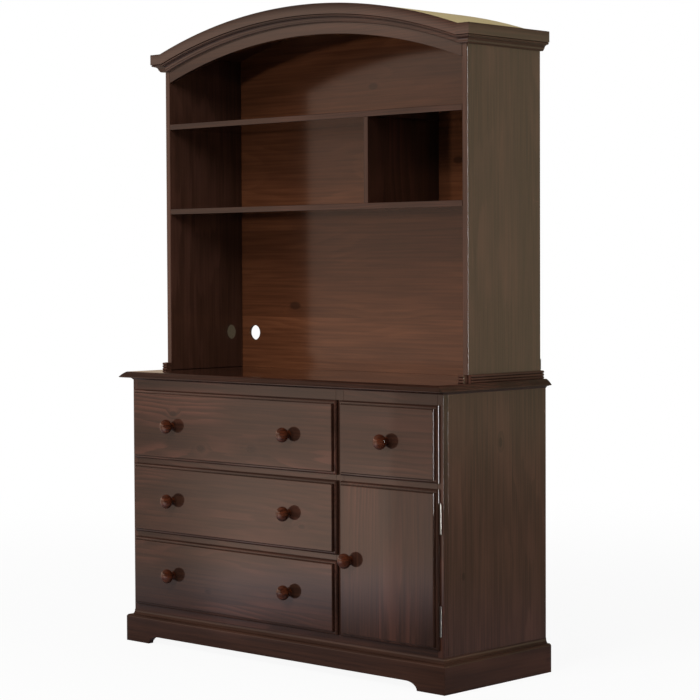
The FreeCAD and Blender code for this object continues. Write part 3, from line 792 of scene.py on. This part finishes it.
@dataclass(frozen=True)
class LippedEdge:
    """Section of the edge of a drawer front or door, from the back corner to the field.

    The lip is rounded over as a quarter of an ellipse, then come a narrow quirk and a rounded
    step up to the field.
    """

    thickness: float = 0.0175
    lip: float = 0.0080
    width: float = 0.0130
    square: float = 0.0025
    ease: float = 0.0006
    step: float = 0.0026

    def section(self) -> np.ndarray:
        """The edge with its rounds drawn fine.

        Returns:
            (inset, height) points in metres.
        """
        lip, width, full = self.lip, self.width, self.thickness
        reach, crest = width - 0.0050, lip + 0.0010
        turn = np.radians(np.linspace(0, 90, 15))
        ovolo = np.column_stack([reach - reach * np.cos(turn),
                                 self.square + (crest - self.square) * np.sin(turn)])
        quirk = np.array([[reach + 0.0003, crest - 0.0001], [width - 0.0040, lip - 0.0008],
                          [width - 0.0031, lip - 0.0008]])
        step = arc((width - 0.0001, full - self.step), self.step, 175, 92, 9)
        field_edge = [[width + 0.0004, full]]
        return np.vstack([[[self.ease, 0.0]], [[0.0, self.ease]], ovolo, quirk, step, field_edge])


@dataclass
class Front(Assembly):
    """A moulded overlay panel: a drawer front or the door."""

    node: str = ""
    grain: Grain = Grain.LEVEL_FRONT
    seed: float = 0.0
    knots: tuple[Knot, ...] = ()
    figure: float = 1.0
    strip: float = 0.14
    back_inset: float = 0.05
    edge: LippedEdge = LippedEdge()

    def build(self) -> None:
        """The panel as rings of four corners that follow the edge section, then the field."""
        low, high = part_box(self.node)
        inset, height = np.vstack([[[self.back_inset, 0.0]], self.edge.section()]).T
        left, right = low.x + inset, high.x - inset
        bottom, top = low.z + inset, high.z - inset
        depth = high.y - height
        rings = corner_rings((left, depth, bottom), (right, depth, bottom), (right, depth, top),
                             (left, depth, top))
        panel = loft(self.node + "_panel", rings, sharp=30.0)
        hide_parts(self.node)
        self.dress(panel, StainedPine(self.node + "_pine", self.grain, self.seed, ESPRESSO,
                                      self.strip, self.knots, self.figure))


@dataclass
class Knobs(Assembly):
    """Turned ball knobs of one front, each with its screw."""

    node: str = ""
    count: int = 1
    radius: float = 0.023
    reach: float = 0.042
    neck: float = 0.009
    middle: float = 0.026
    side: float = 0.014
    gap: float = 0.0002

    def profile(self) -> np.ndarray:
        """The knob: foot ring, groove, neck sweep, and a ball of a side arc and a front arc
        that meet in a tangent.

        Returns:
            (radius, distance) points in metres.
        """
        middle, side = self.middle, self.side
        rise, inset = self.reach - middle, self.radius - side
        front = (inset ** 2 + rise ** 2 - side ** 2) / (2 * (rise - side))
        centre = self.reach - front
        lean = math.degrees(math.atan2(middle - centre, inset))
        start = -math.degrees(math.acos((self.neck - inset) / side))
        foot = arc((0.0132, 0.0014), 0.0013, -80, 80, 8)
        shoulder = arc((0.0108, 0.0036), 0.0008, -60, 90, 6)
        sweep = arc((0.0173, 0.0090), 0.0087, 213, 163, 10)
        ball = arc((inset, middle), side, start, lean, 26)
        cap = arc((0.0, centre), front, lean, 89.2, 14)
        return np.vstack([[[0.001, 0.0]], foot, shoulder, sweep, ball, cap[1:]])

    def screw(self, length: float) -> np.ndarray:
        """(radius, distance) of a pan-headed screw with a plain shank, length metres overall."""
        core, shank, head, thick = 0.0003, 0.0020, 0.0045, 0.0030
        return np.array([[core, 0.0], [0.0032, 0.0], [0.0044, 0.0008], [head, 0.0022],
                         [head, thick], [shank, thick], [shank, length], [core, length]])

    def build(self) -> None:
        """Turn each knob and its screw where the construction has them."""
        low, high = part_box(self.node)
        height = (low.z + high.z) / 2
        if self.count == 2:
            places = (low.x + self.radius, high.x - self.radius)
        else:
            places = ((low.x + high.x) / 2,)
        face = low.y + self.reach
        turned, screws = [], []
        for number, x in enumerate(places):
            turned.append(lathe(f"{self.node}_ball_{number}", self.profile(),
                                Vector((x, face, height))))
            screws.append(lathe(f"{self.node}_screw_{number}",
                                self.screw(high.y - face - self.gap),
                                Vector((x, high.y, height)), 24))
        steel = joined(self.node + "_screws", screws)
        balls = joined(self.node + "_turned", turned)
        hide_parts(self.node)
        self.dress(balls, TurnedWood("knob_polished_wood"), "knob_wood")
        self.dress(steel, NICKEL, "hinge_steel")


@dataclass
class Drawer(Assembly):
    """A drawer: front, box, bottom, knobs and runner members."""

    knob_count: int = 2
    seed: float = 0.0
    knots: tuple[Knot, ...] = ()
    figure: float = 1.0

    def build(self) -> None:
        """Build the front and knobs, and finish the box."""
        front = Front(body=self.body, node=self.body + "_front", seed=self.seed, knots=self.knots,
                      figure=self.figure)
        front.build()
        knobs = Knobs(body=self.body, node=self.body + "_knobs", count=self.knob_count)
        knobs.build()
        self.board(self.body + "_box", DRAWER_WALLS, "drawer_box_wood", Arris.BOX)
        self.board(self.body + "_bottom", BOTTOM_BOARD, "drawer_box_wood", Arris.KEPT)
        self.board(self.body + "_runners", EPOXY, "runner_steel", Arris.KEPT)
        self.made += front.made + knobs.made


@dataclass
class Hinges(Assembly):
    """The door's two slim wrap-round hinges."""

    def build(self) -> None:
        """Finish the leaves and barrels on both bodies."""
        self.board("hinge_frame_leaves", NICKEL, "hinge_steel", Arris.METAL)
        self.body = DOOR
        self.board("hinge_door_leaves", NICKEL, "hinge_steel", Arris.METAL)


@dataclass
class Door(Assembly):
    """The cupboard door with its knob and strike plate."""

    body: str = DOOR

    def build(self) -> None:
        """Build the panel, its knob and its plate."""
        panel = Front(body=DOOR, node="door_panel", grain=Grain.UPRIGHT_FRONT, seed=11.3,
                      figure=0.7)
        panel.build()
        knob = Knobs(body=DOOR, node="door_knob", count=1)
        knob.build()
        self.board("door_strike_plate", NICKEL, "hinge_steel", Arris.METAL)
        self.made += panel.made + knob.made


@dataclass
class Hutch(Assembly):
    """Uprights, shelves, divider, back and the mouldings at the hutch's foot."""

    side_strip: float = 0.115
    shelf_strip: float = 0.11
    back_strip: float = 0.145
    foot_strip: float = 0.09
    back_knots: tuple[Knot, ...] = (
        Knot(-0.38, 1.10, 0.016), Knot(0.34, 1.56, 0.014), Knot(0.10, 1.62, 0.011),
        Knot(-0.02, 1.81, 0.013), Knot(0.45, 1.02, 0.015),
    )

    def build(self) -> None:
        """Finish the boards of the hutch."""
        for side, ending, seed in (("right", "", 12.6), ("left", "_left", 14.2)):
            pine = StainedPine("hutch_side_pine" + ending, Grain.UPRIGHT_SIDE, seed,
                               ESPRESSO_SIDE_PAINTED_LIGHT, self.side_strip)
            self.board("hutch_side_" + side, pine, arris=Arris.UPRIGHT)
        shelf = StainedPine("shelf_pine", Grain.LEVEL_FLAT, 15.5, ESPRESSO, self.shelf_strip)
        for place in ("lower", "upper"):
            self.board("hutch_shelf_" + place, shelf, arris=Arris.SHELF)
        divider = StainedPine("divider_pine", Grain.UPRIGHT_SIDE, 16.1, ESPRESSO)
        self.board("hutch_divider", divider, arris=Arris.SHELF)
        back = StainedPine("hutch_back_pine", Grain.LEVEL_FRONT, 17.9, RED_PINE, self.back_strip,
                           self.back_knots, figure=0.55)
        self.board("hutch_back", back, "back_pine", Arris.THIN_BOARD)
        foot = StainedPine("foot_moulding_pine", Grain.DEPTH_SIDE, 18.8, ESPRESSO_SIDE_PAINTED_LIGHT,
                           self.foot_strip)
        self.board("hutch_foot_mouldings", foot, arris=Arris.STILE)
        self.board("hutch_join_plates", NICKEL, "hinge_steel", Arris.METAL)


@dataclass
class Crown(Assembly):
    """The arched crown, its ears and returns, the rail under it and the bent roof."""

    reach: float = 0.035
    height: float = 0.057
    fascia: float = 0.033
    radius: float = 2.0
    ear_start: float = 0.644
    rebate: tuple[float, float] = (0.027, 0.005)
    lip: float = 0.0015
    quirk: float = 0.0055
    bead: float = 0.0030
    cove: float = 0.0110
    ovolo: float = 0.0060
    fillet: float = 0.002
    strip: float = 0.2

    def section(self) -> np.ndarray:
        """The crown's section: a rebate for the roof, an eased lip, the fascia, a quirk, a
        bead, a cove and an ovolo.

        Returns:
            (reach, drop) points in metres.
        """
        face, bead, cove, ovolo = self.reach, self.bead, self.cove, self.ovolo
        foot = face - 2 * ovolo - cove - 2 * self.fillet
        rebate_reach, rebate_drop = self.rebate
        lip = arc((face - self.lip, -self.lip), self.lip, 90, 0, 5)
        bead_curve = arc((face - self.quirk, -self.fascia - bead), bead, 90, -90, 11)
        cove_centre = (foot + ovolo + cove + self.fillet, -self.height + ovolo)
        cove_curve = arc(cove_centre, cove, 90, 180, 11)
        ovolo_curve = arc((foot, -self.height + ovolo), ovolo, 0, -90, 9)
        start = [[0.0, -rebate_drop], [rebate_reach, -rebate_drop], [rebate_reach, 0.0]]
        corner = [[face, -self.fascia], [face - self.quirk, -self.fascia]]
        step = [[cove_centre[0], -self.fascia - 2 * bead]]
        end = [[0.0, -self.height]]
        return np.vstack([start, lip, corner, bead_curve, step, cove_curve, ovolo_curve, end])

    def pine(self, name: str, grain: Grain, seed: float, stain: Stain = ESPRESSO) -> StainedPine:
        """The pine of one length of the crown, cut from a single wide board."""
        return StainedPine(name, grain, seed, stain, self.strip)

    def build(self) -> None:
        """Carry the section along the arch, the ears and the returns, mitred where they meet.

        On the arch a point of the section lies at its drop inside the radius, at the joint with
        an ear on the plane that halves their angle, and at a corner its reach counts both ways.
        """
        low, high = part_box("crown_side_right")
        wall, top, back = low.x, high.z, high.y
        front = low.y + self.reach
        out, drop = self.section().T
        half = math.asin(self.ear_start / self.radius)
        centre = top - math.sqrt(self.radius ** 2 - self.ear_start ** 2)
        angle = np.linspace(-half, half, 97)[1:-1, None]
        span = self.radius + drop[None, :]
        arch = np.stack([span * np.sin(angle), front - out[None, :] + 0 * angle,
                         centre + span * np.cos(angle)], -1)
        joint = np.column_stack([self.ear_start + drop * math.tan(half / 2), front - out,
                                 top + drop])
        corner = np.column_stack([wall + out, front - out, top + drop])
        end = np.column_stack([wall + out, 0 * out + back, top + drop])
        rail = loft("crown_arch", np.concatenate([[joint * TO_THE_LEFT], arch, [joint]]))
        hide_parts("crown_front")
        self.dress(rail, self.pine("crown_pine", Grain.LEVEL_FRONT, 19.3))
        for side, sign in (("right", np.ones(3)), ("left", TO_THE_LEFT)):
            ear = loft("crown_ear_" + side, np.stack([joint, corner]) * sign)
            self.dress(ear, self.pine("ear_pine_" + side, Grain.LEVEL_FRONT, 20.0 + sign[0]))
            back_run = loft("crown_return_" + side, np.stack([corner, end]) * sign)
            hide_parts("crown_side_" + side)
            self.dress(back_run, self.pine("return_pine_" + side, Grain.DEPTH_SIDE,
                                           22.0 + sign[0], ESPRESSO_SIDE_PAINTED_LIGHT))
        self.board("hutch_arch_rail", self.pine("arch_rail_pine", Grain.LEVEL_FRONT, 25.0))
        self.board("hutch_roof", BentPly("bent_plywood_sheet", self.radius, centre),
                   "raw_plywood", Arris.KEPT)


# --- studio
@dataclass(frozen=True)
class Lamp:
    """A soft lamp that looks at the middle of the dresser and that no lacquer mirrors."""

    name: str
    place: tuple[float, float, float]
    width: float
    height: float
    power: float

    def build(self) -> None:
        """Hang the lamp."""
        data = bpy.data.lights.new(self.name, "AREA")
        data.shape = "RECTANGLE"
        data.size = self.width
        data.size_y = self.height
        data.energy = self.power
        lamp = placed(self.name, data)
        lamp.location = self.place
        lamp.visible_glossy = False
        aim = Vector((0, 0, 1.0)) - Vector(self.place)
        lamp.rotation_euler = aim.to_track_quat("-Z", "Y").to_euler()


@dataclass(frozen=True)
class Studio:
    """Pale floor, white surroundings, the room that lacquer mirrors, lamps and the camera."""

    eye: tuple[float, float, float] = (4.7277, -4.8712, 1.2332)
    turn: float = 0.7585
    tip: float = 0.0386
    roll: float = -0.0044
    lens: float = 111.08
    shift: float = -0.0014
    even: float = 0.38
    glint_strength: float = 40.0
    floor_reach: float = 14.0
    front_wall: str = "ffdcc6"
    rear_wall: str = "fff0c4"
    near_floor: str = "f2dfe6"
    window: tuple[float, float, float, float] = (5.0, 0.5, 1.15, 2.3)
    lamps: tuple[Lamp, ...] = (
        Lamp("front_lamp", (-0.55, -5.6, 1.65), 0.3, 0.3, 75.0),
        Lamp("key_lamp", (0.85, -4.15, 4.0), 2.0, 2.0, 140.0),
        Lamp("side_lamp", (5.0, 0.7, 1.11), 0.5, 2.18, 45.0),
    )

    def build(self) -> None:
        """Make the surroundings."""
        for lamp in self.lamps:
            lamp.build()
        self.build_window()
        self.build_world()
        self.build_floor()
        self.build_camera()
        bpy.context.scene.view_settings.view_transform = "Standard"

    def wall_colour(self, s: Shader, side: Signal) -> Signal:
        """The mirrored room's colour: one wall in front where side is below zero, one behind."""
        return s.mix(side.step(-0.3, 0.3), tint(self.front_wall), tint(self.rear_wall))

    def glint(self, s: Shader, place: Signal) -> Signal:
        """Strength of what makes the glints, for rays that have met a single surface."""
        met = s.node("LightPath", None, None, "Ray Depth")
        return place * (2.0 - met).at_least(0.0) * self.glint_strength

    def sheet(self, name: str, corners: list[tuple[float, float, float]]) -> bpy.types.Object:
        """A flat sheet with four corners, given in order.

        Args:
            name: the object's name.
            corners: places in metres.

        Returns:
            The new object.
        """
        mesh = bpy.data.meshes.new(name)
        mesh.from_pydata(corners, [], [[0, 1, 2, 3]])
        return placed(name, mesh)

    def build_window(self) -> None:
        """A tall bright window on the right that only lacquer and metal show."""
        x, near, far, height = self.window
        window = self.sheet("window", [(x, near, 0), (x, far, 0), (x, far, height),
                                       (x, near, height)])
        window.visible_camera = window.visible_diffuse = window.visible_shadow = False
        s = Shader.of_material("window_light")
        light = s.node("Emission", None, {"Strength": self.glint(s, s.ray("Glossy"))})
        window.data.materials.append(s.close(light))

    def build_world(self) -> None:
        """Even light that the camera sees as white.

        Lacquer mirrors it as a room with pale walls to the left and behind, a lighter band
        above the horizon in front, and darkness overhead and to the front right. A round
        umbrella out in front makes the knobs glint.
        """
        world = bpy.data.worlds.new("studio")
        bpy.context.scene.world = world
        s = Shader(world)
        x, y, z = s.split(s.node("TexCoord", None, None, "Generated"))
        band = z.step(0.080, 0.115) * ((x + y) * -0.35).at_least(0.0)
        dark = 1.0 - (x - y).step(0.08, 0.6) * 0.9
        walls = (0.45 + band) * dark * (1.0 - z.step(0.14, 0.28) * 0.85)
        umbrella = x * -0.05 - y * 0.955 + z * 0.292
        bright = umbrella.step(0.980, 0.986)
        walls = walls + self.glint(s, bright)
        mirrored = s.ray("Glossy")
        shown = s.ray("Camera") + s.ray("Transmission")
        strength = self.even + shown * (1 - self.even) + mirrored * (walls - self.even)
        colour = s.mix(mirrored * (1.0 - bright), WHITE, self.wall_colour(s, x + y))
        light = s.node("Background", None, {"Color": colour, "Strength": strength})
        s.close(light, "OutputWorld")

    def build_floor(self) -> None:
        """A wide pale floor that keeps a soft shadow near the dresser.

        Lacquer mirrors it as a floor that is dim close to the dresser and rises to a stretch
        of daylight out in front. A wedge of shade, a standing screen and the dark at the far
        right cut into that stretch, and a long way behind the floor is a little lighter.
        """
        far = self.floor_reach
        floor = self.sheet("floor", [(-far, -far, 0), (far, -far, 0), (far, far, 0),
                                     (-far, far, 0)])
        s = Shader.of_material("pale_floor")
        x, y = s.split(s.place())[:2]
        diagonal = 0.7071
        away, across = (x + y) * -diagonal, (x - y) * diagonal
        bearing = across / away.at_least(0.3)
        shade = away.step(0.2, 1.2) * (1.0 - bearing.step(-0.13, 0.01)) * 0.6
        screen = (across - away * 0.048).step(0.47, 0.53) * away.step(0.0, 1.0) * 0.3
        level = 0.1 + away.step(0.5, 2.2) * 0.9 - away.step(4.5, 9.0) * 0.25
        level = (level + away.step(-3.0, -12.0) * 0.2) * (1.0 - shade) * (1.0 - screen)
        beyond = across - (away * away).root() * 0.35
        level = level * (1.0 - beyond.step(0.35, 0.8) * 0.9)
        distance = (x * x + y * y).root()
        mirrored = s.ray("Glossy")
        walls = s.mix(distance.step(3.0, 1.0), self.wall_colour(s, x + y), tint(self.near_floor))
        colour = s.mix(mirrored, WHITE, walls)
        shown = s.mix(s.ray("Camera"), tint("b8b5b0"), tint("f4f4f2"))
        body = s.node("BsdfDiffuse", None, {"Color": shown})
        strength = 1.0 + mirrored * (level - 1.0)
        glow = s.node("Emission", None, {"Color": colour, "Strength": strength})
        share = s.ray("Camera") * (0.92 + distance.step(1.0, 5.0) * 0.08) + mirrored * 0.95
        blend = s.node("MixShader", None, {0: share, 1: body, 2: glow})
        floor.data.materials.append(s.close(blend))

    def build_camera(self) -> None:
        """A long lens that looks down the corner of the dresser."""
        forward = Vector((-math.sin(self.turn) * math.cos(self.tip),
                          math.cos(self.turn) * math.cos(self.tip), -math.sin(self.tip)))
        right = Vector((math.cos(self.turn), math.sin(self.turn), 0.0))
        up = right.cross(forward)
        level_right = math.cos(self.roll) * right + math.sin(self.roll) * up
        level_up = -math.sin(self.roll) * right + math.cos(self.roll) * up
        data = bpy.data.cameras.new("camera")
        data.lens = self.lens
        data.sensor_width = 36.0
        data.shift_y = self.shift
        data.clip_end = 60.0
        camera = placed("camera", data)
        axes = Matrix((level_right, level_up, -forward)).transposed()
        camera.matrix_world = Matrix.Translation(self.eye) @ axes.to_4x4()
        bpy.context.scene.camera = camera


def main() -> None:
    """Build every sub-assembly in order and log it."""
    logging.basicConfig(level=logging.INFO, format="%(message)s")
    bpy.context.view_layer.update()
    drawers = (
        Drawer("drawer_1", seed=31.0, figure=1.3,
               knots=(Knot(-0.33, 0.655, 0.013), Knot(-0.10, 0.665, 0.015),
                      Knot(-0.46, 0.76, 0.010))),
        Drawer("drawer_2", seed=34.0, figure=0.8, knots=(Knot(0.12, 0.44, 0.009),)),
        Drawer("drawer_3", seed=37.0, figure=0.9, knots=(Knot(-0.30, 0.20, 0.010),)),
        Drawer("small_drawer", seed=41.0, knob_count=1, figure=0.6),
    )
    for assembly in (Plinth(), Case(), *drawers, Hinges(), Door(), Hutch(), Crown()):
        assembly.build()
        assembly.report()
    Studio().build()


if __name__ == "__main__":
    main()
